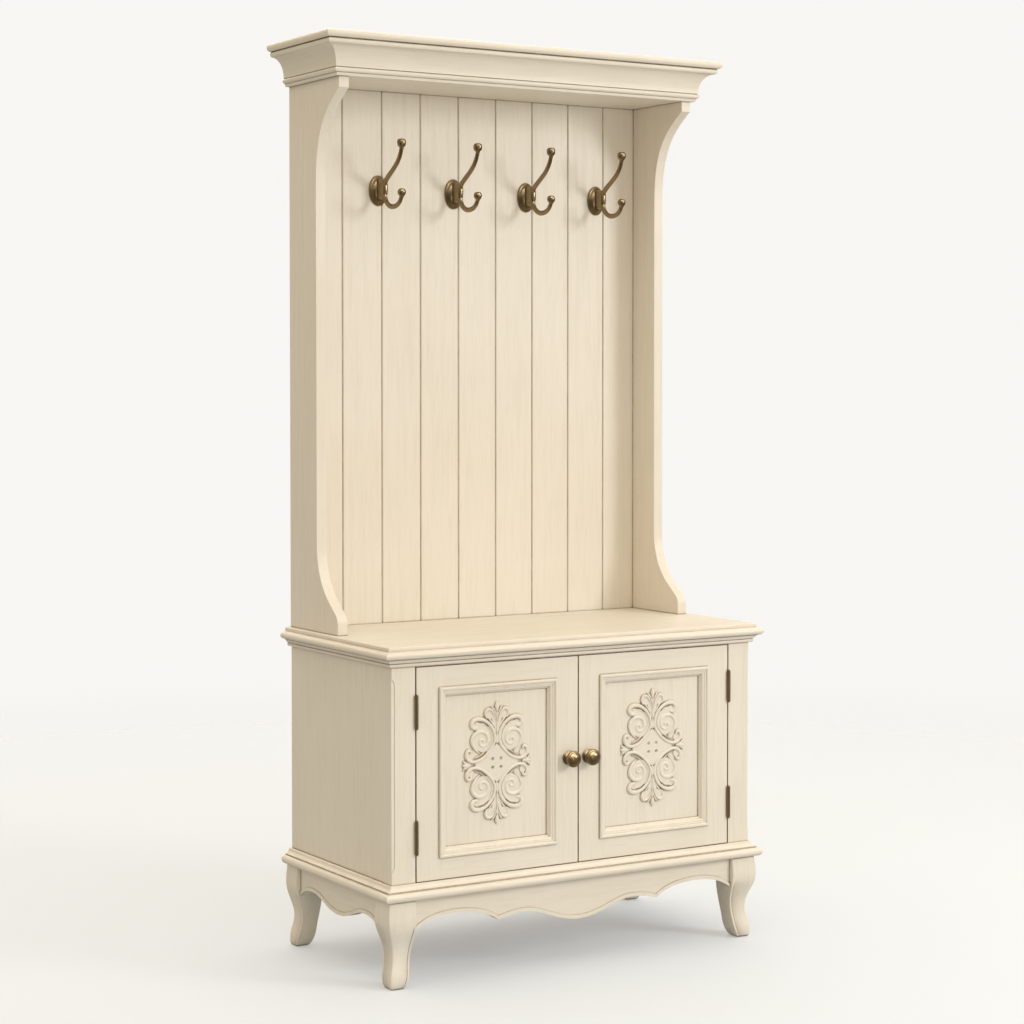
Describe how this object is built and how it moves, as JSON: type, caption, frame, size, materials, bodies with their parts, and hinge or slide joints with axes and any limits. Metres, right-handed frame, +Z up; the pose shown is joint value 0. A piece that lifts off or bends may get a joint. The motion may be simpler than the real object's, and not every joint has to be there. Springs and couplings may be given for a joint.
{
  "type": "hall tree with hooks",
  "caption": "Painted wooden hall tree: beadboard back with double coat hooks and a crown, over a bench cabinet with two hinged doors on cabriole legs.",
  "frame": {"origin": "on the floor, below the middle of the object's overall width and depth", "axes": "+X to the right of a person who faces the doors, +Y from the doors to the back, +Z up"},
  "size_m": [0.94, 0.458, 1.83],
  "materials": {
    "painted_wood": "ivory paint over fine grain, with a brown glaze in the recesses and lightly worn edges",
    "antique_brass": "antique brass, dark in the recesses and rubbed bright on the high spots",
    "steel": "plain zinc-plated steel"
  },
  "bodies": {
    "carcass": {"left_side_panel": "painted_wood", "right_side_panel": "painted_wood", "back_plank_1": "painted_wood", "back_plank_2": "painted_wood", "back_plank_3": "painted_wood", "back_plank_4": "painted_wood", "back_plank_5": "painted_wood", "back_plank_6": "painted_wood", "back_plank_7": "painted_wood", "back_plank_8": "painted_wood", "back_plank_9": "painted_wood", "back_rails": "painted_wood", "soffit_board": "painted_wood", "crown_front": "painted_wood", "crown_returns": "painted_wood", "crown_cap": "painted_wood", "hook_1": "antique_brass", "hook_2": "antique_brass", "hook_3": "antique_brass", "hook_4": "antique_brass", "hook_screws": "steel", "bench_top": "painted_wood", "bench_moulding_front": "painted_wood", "bench_moulding_returns": "painted_wood", "left_post": "painted_wood", "right_post": "painted_wood", "left_cabinet_side": "painted_wood", "right_cabinet_side": "painted_wood", "cabinet_back": "painted_wood", "cabinet_bottom": "painted_wood", "face_rails": "painted_wood", "shelf": "painted_wood", "shelf_pins": "steel", "door_catches": "antique_brass", "hinge_fixed_leaves": "antique_brass", "base_moulding_front": "painted_wood", "base_moulding_returns": "painted_wood", "front_apron": "painted_wood", "side_aprons": "painted_wood", "rear_apron": "painted_wood", "front_left_leg": "painted_wood", "front_right_leg": "painted_wood", "rear_left_leg": "painted_wood", "rear_right_leg": "painted_wood"},
    "left_door": {"left_door_stiles": "painted_wood", "left_door_rails": "painted_wood", "left_door_panel": "painted_wood", "left_door_moulding": "painted_wood", "left_door_ornament": "painted_wood", "left_door_knob": "antique_brass", "left_door_hinges": "antique_brass", "left_door_strike": "steel"},
    "right_door": {"right_door_stiles": "painted_wood", "right_door_rails": "painted_wood", "right_door_panel": "painted_wood", "right_door_moulding": "painted_wood", "right_door_ornament": "painted_wood", "right_door_knob": "antique_brass", "right_door_hinges": "antique_brass", "right_door_strike": "steel"}
  },
  "joints": [
    {"name": "left_door_hinge", "type": "hinge", "parent": "carcass", "child": "left_door", "pos_m": [-0.3675, -0.2047, 0.405], "axis": [0, 0, -1], "range_deg": [0, 175]},
    {"name": "right_door_hinge", "type": "hinge", "parent": "carcass", "child": "right_door", "pos_m": [0.3675, -0.2047, 0.405], "axis": [0, 0, 1], "range_deg": [0, 175]}
  ]
}
